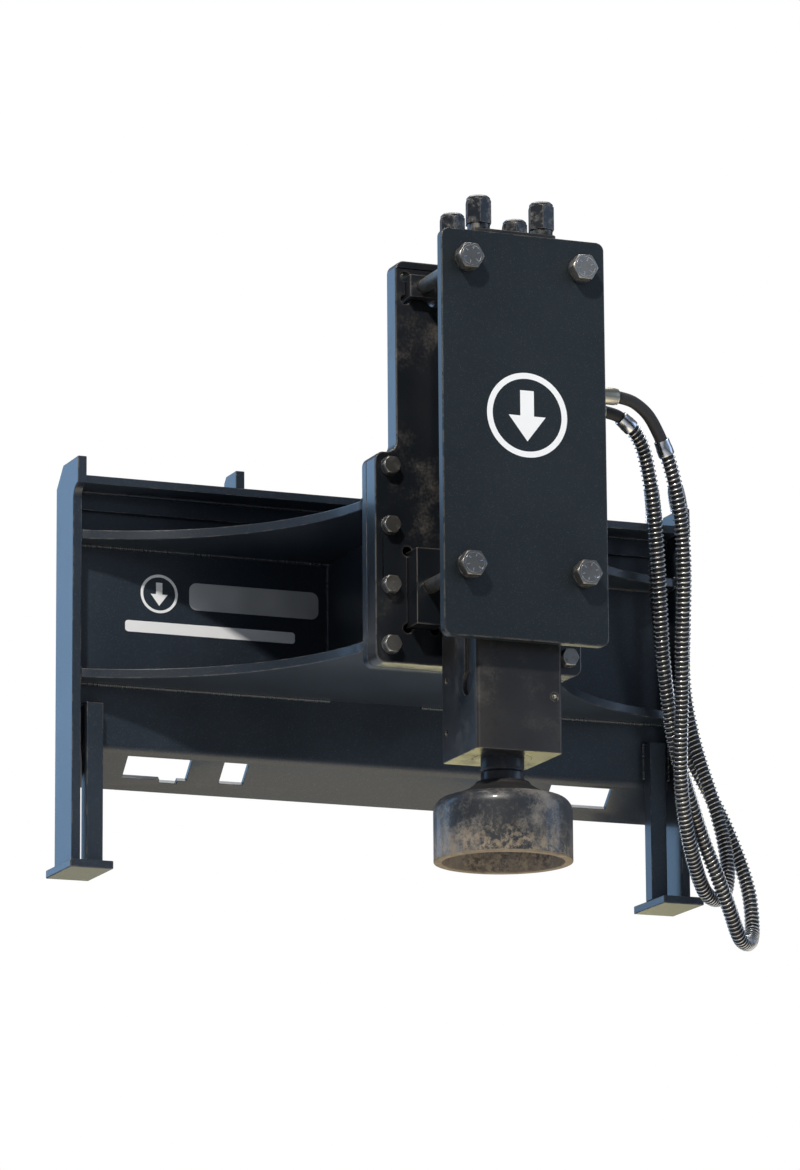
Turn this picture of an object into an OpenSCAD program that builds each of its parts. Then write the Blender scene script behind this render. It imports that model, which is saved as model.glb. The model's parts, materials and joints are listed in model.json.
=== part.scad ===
// Hydraulic breaker hammer with a post driver cup, bolted to a skid steer quick attach frame.
// +X is to the right, +Y points back to the loader and +Z is up.
// The origin is on the back face of the main plate, where the loader's coupler bears.

/* [Frame] */
// Overall width over the two end plates
frame_w = 1148; // [1130:2:1200]
// Thickness of each end plate
end_plate_t = 16; // [12:1:18]
// Thickness of the main plate and its bottom flange
plate_t = 10; // [8:1:12]
// Height of the ears above the origin
ear_top = 250; // [240:1:252]
// Height of the underside of the feet above the origin
foot_bottom = -464; // [-480:1:-440]
// Thickness of the two curved ribs
rib_t = 16; // [12:1:18]
// Radius of the curved front edges of the ribs
rib_edge_r = 450; // [430:10:700]
// Height of the underside of the upper rib
upper_rib_z = 112; // [104:1:120]
// Height of the underside of the lower rib
lower_rib_z = -130; // [-136:1:-126]

/* [Cradle] */
// Width of the broad lower part of the cradle plate
cradle_w = 372; // [368:2:380]
// Width of the narrow upper part of the cradle plate and of the clamp plate
clamp_w = 294; // [280:2:300]
// Thickness of the cradle plate
cradle_t = 40; // [38:1:44]
// Thickness of the face plate that the ribs carry
face_t = 20; // [16:1:24]
// Thickness of the clamp plate in front of the breaker
clamp_t = 19; // [16:1:22]
// Height of one step between the cradle bolts
bolt_pitch = 101.6; // [100:0.1:103]
// Sideways distance of the clamp bolts from the centre
clamp_bolt_x = 102.8; // [101:0.1:105]

/* [Breaker] */
// Side of the square breaker body
body_w = 152.4; // [150:0.1:154]
// Height of the bottom of the front head
head_bottom = -329; // [-332:1:-326]
// Height of the top of the back head
head_top = 554; // [550:1:560]
// Radius of the tool shank
shank_r = 36; // [35:0.5:37]
// Travel of the tool between hanging and pressed in
tool_stroke = 30; // [24:1:30]
// Travel of the piston
piston_stroke = 55; // [40:1:55]

/* [Driver cup] */
// Outer radius of the cup
cup_r = 115; // [108:1:120]
// Wall of the cup
cup_wall = 14; // [12:1:16]
// Height of the cup
cup_h = 108; // [96:1:112]

/* [Hoses] */
// Outer radius of each hose
hose_r = 10.5; // [9.5:0.5:11]

/* [Hidden] */
$fn = 64;

half_w = frame_w / 2;
inner_w = half_w - end_plate_t;

// Stations along Y
ear_front = -85;
end_front = -60;
end_back = 30;
face_back = -420;
face_front = face_back - face_t;
cradle_front = face_front - cradle_t;
axis_y = -573;
body_front = axis_y - body_w / 2;
body_back = axis_y + body_w / 2;
clamp_back = -665;
clamp_front = clamp_back - clamp_t;

// Stations along Z
bar_t = 14;
bar_bottom = 204;
bar_top = bar_bottom + bar_t;
bar_front = -80;
bend_z = -232;
bend_r = 12;
flange_l = 75;
foot_t = 14;
foot_top = foot_bottom + foot_t;
cradle_bottom = -160;
shoulder_z = 200;
cradle_top = 534;
clamp_bottom = -152;
clamp_top = 538;
low_bolt_z = -34;
high_bolt_z = 487;
first_bolt_z = -130;
cradle_bolt_x = 160;

// Breaker stations
head_split = -60;
back_split = 380;
tie_x = 57;
tie_r = 12;
pin_y = axis_y - 35;
pin_z = -213;
pin_r = 15;
shank_top = -120;
bush_r = 48;
bore_r = 45;
nose_r = 36;
tail_r = 34;
carrier_r = 50;
carrier_h = 60;
tail_carrier_h = 40;
fit = 0.05;
spool_x = -62;
spool_r = 9;
spool_travel = 12;
pressure_y = axis_y - 28;
return_y = axis_y + 28;
pressure_z = 298;
return_z = 286;
port_r = 10;
hose_start_x = 205;

// Cup stations
rim_z = -503;
cup_top = rim_z + cup_h;
cup_round = 25;
cup_roof = 20;
hub_h = 26;

// Couplers
coupler_r = 19;
ferrule_r = 14.5;

steel_black = [0.06, 0.08, 0.12];
head_black = [0.09, 0.09, 0.11];
zinc = [0.62, 0.62, 0.6];
dull_steel = [0.42, 0.42, 0.42];
bright_steel = [0.72, 0.73, 0.75];
bronze = [0.6, 0.45, 0.25];
rubber_black = [0.04, 0.04, 0.045];
earth_steel = [0.3, 0.25, 0.2];

// Centre line of the pressure hose, from its hose end on the breaker to its coupler
pressure_route = [
    [205, -601, 298], [234, -600, 292], [262, -596, 274], [284, -589, 246],
    [303, -581, 212], [320, -571, 172], [334, -560, 128], [346, -546, 80],
    [355, -530, 26], [362, -511, -32], [369, -488, -90], [379, -463, -148],
    [390, -434, -206], [402, -402, -262], [418, -369, -318], [444, -330, -378],
    [480, -284, -432], [517, -243, -469], [556, -205, -474], [588, -173, -453],
    [604, -152, -408], [605, -137, -360], [597, -129, -312], [585, -123, -266],
    [571, -118, -218], [558, -114, -166], [548, -111, -108], [544, -109, -46],
    [547, -108, 24], [549, -107, 96], [549, -108, 160], [549, -108, 216],
    [552, -88, 262], [562, -56, 290], [576, -20, 300], [594, 18, 294],
    [617, 56, 266], [629, 84, 220], [624, 99, 162], [612, 104, 104],
    [606, 104, 66], [606, 104, 30]
];

// Centre line of the return hose, from its hose end on the breaker to its coupler
return_route = [
    [205, -545, 286], [232, -544, 280], [257, -540, 264], [278, -534, 238],
    [293, -525, 200], [306, -514, 152], [316, -502, 104], [326, -488, 52],
    [335, -474, 0], [345, -456, -56], [358, -434, -112], [376, -409, -168],
    [397, -382, -226], [424, -355, -282], [456, -328, -338], [490, -300, -394],
    [524, -279, -446], [560, -248, -496], [596, -210, -538], [634, -166, -541],
    [659, -130, -513], [666, -108, -450], [659, -95, -398], [643, -87, -346],
    [620, -84, -294], [590, -83, -242], [560, -83, -186], [536, -86, -126],
    [519, -90, -62], [507, -95, 8], [500, -100, 80], [497, -104, 148],
    [498, -103, 210], [505, -79, 260], [522, -36, 289], [545, 13, 290],
    [567, 59, 263], [576, 88, 217], [568, 101, 158], [561, 104, 124],
    [560, 104, 100]
];

// 2D helpers, all made of squares and circles so that round corners stay round

module rounded_plate(x0, z0, x1, z1, r) {
    translate([x0 + r, z0]) square([x1 - x0 - 2 * r, z1 - z0]);
    translate([x0, z0 + r]) square([x1 - x0, z1 - z0 - 2 * r]);
    for (x = [x0 + r, x1 - r], z = [z0 + r, z1 - r])
        translate([x, z]) circle(r);
}

module chamfered_square(w, c) {
    h = w / 2;
    polygon([[-h + c, -h], [h - c, -h], [h, -h + c], [h, h - c],
             [h - c, h], [-h + c, h], [-h, h - c], [-h, -h + c]]);
}

module hexagon(across_flats) {
    circle(r = across_flats / sqrt(3), $fn = 6);
}

// An outline drawn in X and Z becomes a plate whose front face is at y0
module plate_xz(y0, t) {
    translate([0, y0 + t, 0]) rotate([90, 0, 0]) linear_extrude(t) children();
}

// An outline drawn in Y and Z becomes a plate whose left face is at x0
module plate_yz(x0, t) {
    translate([x0, 0, 0]) rotate([90, 0, 90]) linear_extrude(t) children();
}

// A rod along +Y
module rod_y(x, z, y0, y1, r) {
    translate([x, y0, z]) rotate([-90, 0, 0]) cylinder(r = r, h = y1 - y0);
}

// A rod along +X
module rod_x(y, z, x0, x1, r) {
    translate([x0, y, z]) rotate([0, 90, 0]) cylinder(r = r, h = x1 - x0);
}

// A rod along +Z on the breaker's axis
module rod_z(x, dy, z0, z1, r) {
    translate([x, axis_y + dy, z0]) cylinder(r = r, h = z1 - z0);
}

module ring_z(dy, z0, z1, outer, inner) {
    difference() {
        rod_z(0, dy, z0, z1, outer);
        rod_z(0, dy, z0 - 1, z1 + 1, inner);
    }
}

module washer_y(x, z, y0, t, outer, inner) {
    difference() {
        rod_y(x, z, y0, y0 + t, outer);
        rod_y(x, z, y0 - 1, y0 + t + 1, inner);
    }
}

// A hex head bolt pointing back from its bearing face at y0
module bolt_y(x, z, y0, across_flats, head_h, shank_radius, shank_l) {
    translate([x, y0 - head_h, z]) rotate([-90, 0, 0]) intersection() {
        linear_extrude(head_h) hexagon(across_flats);
        cylinder(r1 = across_flats / 2 - 0.5, r2 = across_flats / 2 - 0.5 + 2 * head_h,
                 h = head_h);
    }
    rod_y(x, z, y0 - 1, y0 + shank_l, shank_radius);
}

// Vector helpers for the hoses

function unit(v) = v / norm(v);
function tangent_at(p, i) =
    i == 0 ? [1, 0, 0]
    : i == len(p) - 1 ? [0, 0, -1]
    : unit(p[i + 1] - p[i - 1]);
function carried(side, t) = unit(side - (side * t) * t);
function sides_along(p, i = 0, side = [0, 1, 0]) =
    i == len(p) ? []
    : let (s = carried(side, tangent_at(p, i)))
      concat([s], sides_along(p, i + 1, s));

// One closed tube along a list of points, with flat ends
module tube_along(p, r, n = 10) {
    s = sides_along(p);
    rings = [for (i = [0 : len(p) - 1]) let (t = tangent_at(p, i), b = cross(t, s[i]))
        for (k = [0 : n - 1])
            p[i] + r * (cos(360 * k / n) * s[i] + sin(360 * k / n) * b)];
    last = (len(p) - 1) * n;
    faces = concat(
        [[for (k = [0 : n - 1]) k]],
        [for (i = [0 : len(p) - 2], k = [0 : n - 1])
            let (a = i * n + k, b = i * n + (k + 1) % n)
            [a, a + n, b + n, b]],
        [[for (k = [n - 1 : -1 : 0]) last + k]]);
    polyhedron(points = rings, faces = faces, convexity = 6);
}

// Frame

// The plate stands upright, bends back through 45 degrees and ends in a straight flange
module main_profile() {
    outer_r = bend_r + plate_t;
    bend_step = 9;
    function around(r, a) = [bend_r - r * cos(a), bend_z - r * sin(a)];
    function along(r) = around(r, 45) + flange_l / sqrt(2) * [1, -1];
    polygon(concat(
        [[-plate_t, bar_bottom], [0, bar_bottom]],
        [for (a = [0 : bend_step : 45]) around(bend_r, a)],
        [along(bend_r), along(outer_r)],
        [for (a = [45 : -bend_step : 0]) around(outer_r, a)]));
}

// Cuts an outline through the flange, drawn in X and in distance down from the bend
module flange_cut() {
    translate([0, bend_r, bend_z]) rotate([45, 0, 0])
        translate([0, -bend_r - plate_t - 5, 0]) rotate([-90, 0, 0])
            linear_extrude(plate_t + 10) children();
}

// The wide slot for a lock pin, with a deeper step, then a small slot and the cut corner
module flange_outlines(side) {
    slot_top = 4;
    slot_low = 48;
    step_low = 54;
    corner = 18;
    polygon([[side * 336, slot_top], [side * 452, slot_top], [side * 452, slot_low],
             [side * 384, slot_low], [side * 384, step_low], [side * 352, step_low],
             [side * 352, slot_low], [side * 336, slot_low]]);
    polygon([[side * 232, slot_top], [side * 276, slot_top],
             [side * 276, slot_low], [side * 232, slot_low]]);
    polygon([[side * (inner_w + 5), flange_l - corner - 5],
             [side * (inner_w + 5), flange_l + 5],
             [side * (inner_w - corner - 5), flange_l + 5]]);
}

module main_plate() {
    color(steel_black) difference() {
        plate_yz(-inner_w, 2 * inner_w) main_profile();
        flange_cut() flange_outlines(-1);
        flange_cut() flange_outlines(1);
    }
}

module top_bar() {
    color(steel_black) translate([-inner_w, bar_front, bar_bottom])
        cube([2 * inner_w, -bar_front, bar_t]);
}

// The lip leans back and down, so the loader's coupler wedges in under it
module top_lip() {
    color(steel_black) plate_yz(-inner_w, 2 * inner_w)
        polygon([[0, bar_bottom], [0, bar_top], [end_back, bar_top - end_back],
                 [end_back - 7, bar_top - end_back - 7]]);
}

module upper_strip() {
    strip_t = 10;
    strip_h = 33;
    color(steel_black) translate([-inner_w, -plate_t - strip_t, bar_bottom - strip_h])
        cube([2 * inner_w, strip_t, strip_h]);
}

module end_plate_profile() {
    step_r = end_front - ear_front;
    step_z = 178;
    difference() {
        polygon([[end_front, foot_top], [end_front, step_z], [ear_front, step_z],
                 [ear_front, ear_top], [end_back - 35, ear_top], [end_back, ear_top - 35],
                 [end_back, foot_top]]);
        translate([ear_front, step_z]) circle(step_r);
    }
}

module end_plate_left() {
    color(steel_black) plate_yz(-half_w, end_plate_t) end_plate_profile();
}

module end_plate_right() {
    color(steel_black) plate_yz(inner_w, end_plate_t) end_plate_profile();
}

module lug(x0) {
    lug_h = 35;
    color(steel_black) plate_yz(x0, end_plate_t)
        polygon([[-62, bar_top], [-62, bar_top + lug_h], [-12, bar_top + lug_h],
                 [-2, bar_top + lug_h - 10], [-2, bar_top]]);
}

module lug_left() { lug(-278); }

module lug_right() { lug(278 - end_plate_t); }

// The front edges sweep in an arc from the end plates to the face plate
module rib_outline() {
    tip_x = inner_w;
    tip_y = end_front + 6;
    root_x = cradle_w / 2;
    root_y = face_back;
    mid = [(tip_x + root_x) / 2, (tip_y + root_y) / 2];
    chord = [root_x - tip_x, root_y - tip_y];
    rise = sqrt(rib_edge_r * rib_edge_r - chord * chord / 4);
    normal = unit([chord[1], -chord[0]]);
    centre = mid - rise * normal;
    difference() {
        polygon([[-tip_x, -plate_t], [-tip_x, tip_y], [-tip_x, root_y], [tip_x, root_y],
                 [tip_x, tip_y], [tip_x, -plate_t]]);
        for (side = [-1, 1]) {
            translate([side * centre[0], centre[1]]) circle(rib_edge_r, $fn = 180);
        }
    }
}

module upper_rib() {
    color(steel_black) translate([0, 0, upper_rib_z]) linear_extrude(rib_t) rib_outline();
}

module lower_rib() {
    color(steel_black) translate([0, 0, lower_rib_z]) linear_extrude(rib_t) rib_outline();
}

// Upright webs between the two ribs, behind the face plate
module web(x0) {
    web_t = 12;
    z0 = lower_rib_z + rib_t;
    color(steel_black) translate([x0, face_back, z0])
        cube([web_t, -plate_t - face_back, upper_rib_z - z0]);
}

module web_left() { web(-88); }

module web_right() { web(76); }

module cradle_bolt_positions() {
    for (side = [-1, 1], k = [0 : 3])
        translate([side * cradle_bolt_x, 0, first_bolt_z + k * bolt_pitch]) children();
}

module face_plate() {
    color(steel_black) difference() {
        plate_xz(face_front, face_t)
            rounded_plate(-cradle_w / 2, cradle_bottom, cradle_w / 2, shoulder_z, 16);
        cradle_bolt_positions() rod_y(0, 0, face_front - 1, face_back + 1, 10 + fit);
    }
}

module leg(x0) {
    leg_w = 30;
    leg_front = -38;
    leg_top = -168;
    color(steel_black) translate([x0, leg_front, foot_top])
        cube([leg_w, -plate_t - leg_front, leg_top - foot_top]);
}

module leg_left() { leg(-540); }

module leg_right() { leg(510); }

module foot(x0) {
    foot_w = 77;
    foot_l = 130;
    color(steel_black) translate([x0, -90, foot_bottom]) cube([foot_w, foot_l, foot_t]);
}

module foot_left() { foot(-586); }

module foot_right() { foot(509); }

// Cradle

module cradle_outline() {
    step_r = 20;
    narrow = clamp_w / 2;
    rounded_plate(-cradle_w / 2, cradle_bottom, cradle_w / 2, shoulder_z, 16);
    rounded_plate(-narrow, cradle_bottom, narrow, cradle_top, 16);
    for (side = [-1, 1]) {
        difference() {
            translate([side > 0 ? narrow : -narrow - step_r, shoulder_z]) square(step_r);
            translate([side * (narrow + step_r), shoulder_z + step_r]) circle(step_r);
        }
    }
}

// A window with round relief holes in its corners
module window(x0, z0, x1, z1) {
    relief_r = 8;
    translate([x0, z0]) square([x1 - x0, z1 - z0]);
    for (x = [x0, x1], z = [z0, z1])
        translate([x, z]) circle(relief_r);
}

block_x0 = 80;
block_x1 = 128;
block_gap = 0.5;
low_block_h = 130;
high_block_h = 39;

module windows(bolt_z, h) {
    for (side = [-1, 1]) {
        x0 = min(side * block_x0, side * block_x1) - block_gap;
        x1 = max(side * block_x0, side * block_x1) + block_gap;
        window(x0, bolt_z - h / 2 - block_gap, x1, bolt_z + h / 2 + block_gap);
    }
}

module cradle_plate() {
    color(steel_black) difference() {
        plate_xz(cradle_front, cradle_t) difference() {
            cradle_outline();
            windows(low_bolt_z, low_block_h);
            windows(high_bolt_z, high_block_h);
        }
        cradle_bolt_positions() rod_y(0, 0, cradle_front - 1, face_front + 1, 11);
    }
}

cradle_washer_t = 3.5;
clamp_washer_t = 7;
clamp_washer_r = 22;
clamp_bolt_r = 12;
clamp_head_af = 41;
clamp_head_h = 19;

module cradle_bolts() {
    color(dull_steel) cradle_bolt_positions()
        bolt_y(0, 0, cradle_front - cradle_washer_t, 28, 12.5, 10, cradle_washer_t + cradle_t + 18);
}

module cradle_washers() {
    color(zinc) cradle_bolt_positions()
        washer_y(0, 0, cradle_front - cradle_washer_t, cradle_washer_t, 16.5, 10.5);
}

// Blocks that pass through the windows and take the clamp bolts
module blocks(bolt_z, h, proud) {
    for (side = [-1, 1]) {
        difference() {
            translate([min(side * block_x0, side * block_x1), cradle_front - proud, bolt_z - h / 2])
                cube([block_x1 - block_x0, proud + cradle_t, h]);
            rod_y(side * clamp_bolt_x, bolt_z, cradle_front - proud - 1, face_front - 9, 12 + fit);
        }
    }
}

module upper_blocks() { color(steel_black) blocks(high_bolt_z, high_block_h, 20); }

module lower_blocks() { color(steel_black) blocks(low_bolt_z, low_block_h, 40); }

module clamp_bolt_positions() {
    for (side = [-1, 1], z = [low_bolt_z, high_bolt_z])
        translate([side * clamp_bolt_x, 0, z]) children();
}

module clamp_plate() {
    color(steel_black) difference() {
        plate_xz(clamp_front, clamp_t)
            rounded_plate(-clamp_w / 2, clamp_bottom, clamp_w / 2, clamp_top, 14);
        clamp_bolt_positions() rod_y(0, 0, clamp_front - 1, clamp_back + 1, 13);
    }
}

module clamp_bolts() {
    reach = face_front - 12 - clamp_front;
    color(dull_steel) clamp_bolt_positions()
        bolt_y(0, 0, clamp_front - clamp_washer_t, clamp_head_af, clamp_head_h, clamp_bolt_r,
               reach + clamp_washer_t);
}

module clamp_washers() {
    color(zinc) clamp_bolt_positions()
        washer_y(0, 0, clamp_front - clamp_washer_t, clamp_washer_t, clamp_washer_r, clamp_bolt_r + fit);
}

module pad(y0, y1, z) {
    pad_w = 140;
    pad_h = 90;
    translate([-pad_w / 2, y0, z - pad_h / 2]) cube([pad_w, y1 - y0, pad_h]);
}

module front_pads() {
    color(rubber_black) for (z = [low_bolt_z, high_bolt_z]) pad(clamp_back, body_front, z);
}

module rear_pads() {
    color(rubber_black) for (z = [low_bolt_z, high_bolt_z]) pad(body_back, cradle_front, z);
}

// Breaker

module body_block(z0, z1) {
    translate([0, axis_y, z0]) linear_extrude(z1 - z0) chamfered_square(body_w, 4);
}

module tie_positions() {
    for (x = [-tie_x, tie_x], y = [-tie_x, tie_x])
        translate([x, y, 0]) children();
}

module front_head() {
    bush_bottom_top = -232;
    pin_zone_top = -190;
    left = -body_w / 2;
    color(head_black) difference() {
        body_block(head_bottom, head_split);
        rod_z(0, 0, head_bottom - 1, bush_bottom_top, bush_r);
        rod_z(0, 0, bush_bottom_top - 1, pin_zone_top + 1, 44);
        rod_z(0, 0, pin_zone_top, head_split + 1, bush_r);
        tie_positions() rod_z(0, 0, -151, head_split + 1, tie_r + fit);
        rod_x(pin_y, pin_z, left - 1, body_w / 2 - 11, pin_r + fit);
        rod_x(pin_y, pin_z, left - 1, left + 12, 21);
        translate([left - 1, pin_y - 10, pin_z]) cube([7, 20, 98]);
        for (z = [-193, -280]) rod_x(body_back - 21, z, left - 1, left + 18, 5);
        rod_y(62, -235, body_front - 1, body_front + 20, 4 + fit);
        rod_y(62, -235, body_front - 1, body_front + 2, 7);
    }
}

module cylinder_block() {
    body_block(head_split, back_split);
}

module cylinder_bores() {
    rod_z(0, 0, head_split - 1, head_split + carrier_h, carrier_r);
    rod_z(0, 0, head_split + carrier_h - 1, back_split - tail_carrier_h + 1, bore_r);
    rod_z(0, 0, back_split - tail_carrier_h, back_split + 1, carrier_r);
    tie_positions() rod_z(0, 0, head_split - 1, back_split + 1, tie_r + 0.6);
    rod_z(spool_x, 0, 244, back_split + 1, spool_r + fit);
    rod_x(pressure_y, pressure_z, 56, body_w / 2 + 1, port_r);
    rod_x(return_y, return_z, 56, body_w / 2 + 1, port_r);
    rod_x(pressure_y, pressure_z, 30, 57, 5);
    rod_x(return_y, return_z, 30, 57, 5);
}

module cylinder_body() {
    color(head_black) difference() {
        cylinder_block();
        cylinder_bores();
    }
}

module back_head() {
    color(head_black) difference() {
        body_block(back_split, head_top);
        rod_z(0, 0, back_split - 1, 510, 42);
        rod_z(0, 0, 509, head_top + 1, 4);
        rod_z(0, 0, 534, head_top + 1, 10 + fit);
        tie_positions() rod_z(0, 0, back_split - 1, head_top + 1, tie_r + 0.6);
    }
}

collar_h = 10;
nut_h = 48;

module tie_rods() {
    color(dull_steel) tie_positions() rod_z(0, 0, -150, head_top + collar_h + 30, tie_r);
}

module tie_rod_collars() {
    color(head_black) tie_positions()
        ring_z(0, head_top, head_top + collar_h, 19, tie_r + 0.6);
}

// Tall capped nuts with a turned top
module tie_rod_nuts() {
    z0 = head_top + collar_h;
    color(head_black) tie_positions() difference() {
        translate([0, axis_y, z0]) intersection() {
            linear_extrude(nut_h) rotate(15) hexagon(40);
            rotate_extrude() polygon([[0, 0], [23.4, 0], [23.4, nut_h - 9], [20, nut_h - 6],
                                      [20, nut_h - 3], [17, nut_h], [0, nut_h]]);
        }
        rod_z(0, 0, z0 - 1, z0 + 32, tie_r + fit);
    }
}

module lower_bush() {
    color(bronze) ring_z(0, head_bottom, -232, bush_r - fit, shank_r + fit);
}

module upper_bush() {
    color(bronze) ring_z(0, -190, -135, bush_r - fit, shank_r + fit);
}

module retaining_pin() {
    color(dull_steel) rod_x(pin_y, pin_z, -body_w / 2 + 12.5, body_w / 2 - 12, pin_r);
}

module pin_plug() {
    color(rubber_black) rod_x(pin_y, pin_z, -body_w / 2 + 6.5, -body_w / 2 + 12, 21 - fit);
}

module grease_nipple() {
    color(zinc) {
        rod_y(62, -235, body_front + 1, body_front + 12, 4);
        rod_y(62, -235, body_front - 1, body_front + 2, 3);
        translate([62, body_front - 2, -235]) sphere(3);
    }
}

module lower_seal_carrier() {
    color(bronze) difference() {
        ring_z(0, head_split, head_split + carrier_h, carrier_r - fit, nose_r + fit);
        rod_z(0, 0, -20, -12, 41);
    }
}

module upper_seal_carrier() {
    color(bronze) difference() {
        ring_z(0, back_split - tail_carrier_h, back_split, carrier_r - fit, tail_r + fit);
        rod_z(0, 0, 356, 364, 39);
    }
}

module rod_seals() {
    color(rubber_black) {
        ring_z(0, -20, -12, 41 - fit, nose_r + 0.1);
        ring_z(0, 356, 364, 39 - fit, tail_r + 0.1);
    }
}

// The rest position is the instant when the piston meets the tool
module piston() {
    strike = shank_top + tool_stroke + 2;
    color(bright_steel) translate([0, axis_y, 0]) rotate_extrude() polygon([
        [0, strike], [nose_r - 4, strike], [nose_r, strike + 4], [nose_r, 60],
        [bore_r - fit, 62], [bore_r - fit, 120], [40, 120], [40, 180],
        [bore_r - fit, 180], [bore_r - fit, 240], [tail_r, 240], [tail_r, 420], [0, 420]
    ]);
}

module valve_spool() {
    color(bright_steel) translate([spool_x, axis_y, 0]) rotate_extrude() polygon([
        [0, 250], [spool_r, 250], [spool_r, 266], [6, 266], [6, 284], [spool_r, 284],
        [spool_r, 300], [6, 300], [6, 316], [spool_r, 316], [spool_r, 330], [0, 330]
    ]);
}

module valve_plug() {
    color(dull_steel) rod_z(spool_x, 0, 352, back_split, spool_r);
}

module charge_valve() {
    color(zinc) {
        rod_z(0, 0, 538, head_top + 1, 10);
        translate([0, axis_y, head_top]) linear_extrude(8) hexagon(22);
    }
}

// Tool

// The flat on the front of the shank is longer than the pin by the tool's travel
module tool_shank() {
    notch_top = pin_z + pin_r + 0.1;
    notch_bottom = pin_z - pin_r - tool_stroke - 0.4;
    notch_back = pin_y + pin_r + 0.3;
    color(dull_steel) difference() {
        translate([0, axis_y, 0]) rotate_extrude() polygon([
            [0, cup_top], [shank_r, cup_top], [shank_r, -354], [34.5, -352.5],
            [34.5, -349.5], [shank_r, -348], [shank_r, shank_top - 4],
            [shank_r - 4, shank_top], [0, shank_top]
        ]);
        translate([-50, notch_back - 60, notch_bottom])
            cube([100, 60, notch_top - notch_bottom]);
    }
}

module cup_hub() {
    color(head_black) translate([0, axis_y, cup_top]) rotate_extrude() polygon([
        [shank_r + fit, 0], [86, 0], [76, 5], [60, 12], [48, 20], [44, hub_h],
        [shank_r + fit, hub_h]
    ]);
}

module cup_profile() {
    inner = cup_r - cup_wall;
    difference() {
        union() {
            translate([0, rim_z]) square([cup_r, cup_h - cup_round]);
            translate([0, rim_z]) square([cup_r - cup_round, cup_h]);
            intersection() {
                translate([cup_r - cup_round, cup_top - cup_round]) circle(cup_round);
                translate([0, rim_z]) square([cup_r, cup_h]);
            }
        }
        translate([-1, rim_z - 1]) square([inner + 1, cup_h - cup_roof + 1]);
    }
}

module driver_cup() {
    color(earth_steel) translate([0, axis_y, 0]) rotate_extrude($fn = 96) cup_profile();
}

// Hoses and their ends

module at_ports() {
    translate([0, pressure_y, pressure_z]) children();
    translate([0, return_y, return_z]) children();
}

module hex_x(x0, x1, across_flats) {
    translate([x0, 0, 0]) rotate([0, 90, 0]) linear_extrude(x1 - x0) hexagon(across_flats);
}

module port_adapters() {
    face = body_w / 2;
    color(zinc) at_ports() {
        rod_x(0, 0, 58, face + 1, port_r - fit);
        hex_x(face, 94, 27);
        rod_x(0, 0, 93, 112, 9);
    }
}

module hose_nuts() {
    color(zinc) at_ports() difference() {
        hex_x(96, 122, 27);
        rod_x(0, 0, 95, 113, 9 + fit);
    }
}

module hose_ferrules() {
    color(zinc) at_ports() {
        rod_x(0, 0, 122, 152, 8);
        rod_x(0, 0, 150, hose_start_x, ferrule_r);
    }
}

module hose_pressure() { color(rubber_black) tube_along(pressure_route, hose_r); }

module hose_return() { color(rubber_black) tube_along(return_route, hose_r); }

pressure_end = pressure_route[len(pressure_route) - 1];
return_end = return_route[len(return_route) - 1];
end_ferrule_l = 42;
coupler_l = 62;

module end_ferrules() {
    color(zinc) for (p = [pressure_end, return_end])
        translate(p - [0, 0, end_ferrule_l]) cylinder(r = ferrule_r, h = end_ferrule_l);
}

module male_coupler() {
    color(bright_steel) translate(return_end - [0, 0, end_ferrule_l]) mirror([0, 0, 1]) {
        linear_extrude(24) hexagon(32);
        translate([0, 0, 24]) cylinder(r = 17, h = 8);
        translate([0, 0, 32]) cylinder(r = 14.5, h = coupler_l - 32);
    }
}

module female_coupler() {
    color(bright_steel) translate(pressure_end - [0, 0, end_ferrule_l]) mirror([0, 0, 1]) {
        linear_extrude(20) hexagon(36);
        difference() {
            translate([0, 0, 20]) cylinder(r = 17, h = coupler_l - 20);
            translate([0, 0, coupler_l - 24]) cylinder(r = 14.7, h = 25);
        }
    }
}

module coupler_sleeve() {
    color(zinc) translate(pressure_end - [0, 0, end_ferrule_l]) mirror([0, 0, 1])
        difference() {
            translate([0, 0, 30]) cylinder(r = coupler_r + 2, h = coupler_l - 30);
            translate([0, 0, 29]) cylinder(r = 17 + fit, h = coupler_l);
        }
}

main_plate();
top_bar();
top_lip();
upper_strip();
end_plate_left();
end_plate_right();
lug_left();
lug_right();
upper_rib();
lower_rib();
web_left();
web_right();
face_plate();
leg_left();
leg_right();
foot_left();
foot_right();
cradle_plate();
cradle_bolts();
cradle_washers();
upper_blocks();
lower_blocks();
clamp_plate();
clamp_bolts();
clamp_washers();
front_pads();
rear_pads();
front_head();
cylinder_body();  // cylinder
back_head();
tie_rods();
tie_rod_collars();
tie_rod_nuts();
lower_bush();
upper_bush();
retaining_pin();
pin_plug();
grease_nipple();
lower_seal_carrier();
upper_seal_carrier();
rod_seals();
piston();
valve_spool();
valve_plug();
charge_valve();
tool_shank();
cup_hub();
driver_cup();
port_adapters();
hose_nuts();
hose_ferrules();
hose_pressure();
hose_return();
end_ferrules();
male_coupler();
female_coupler();
coupler_sleeve();
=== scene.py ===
import bpy
import bmesh
import json
import math
from mathutils import Matrix, Vector


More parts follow.
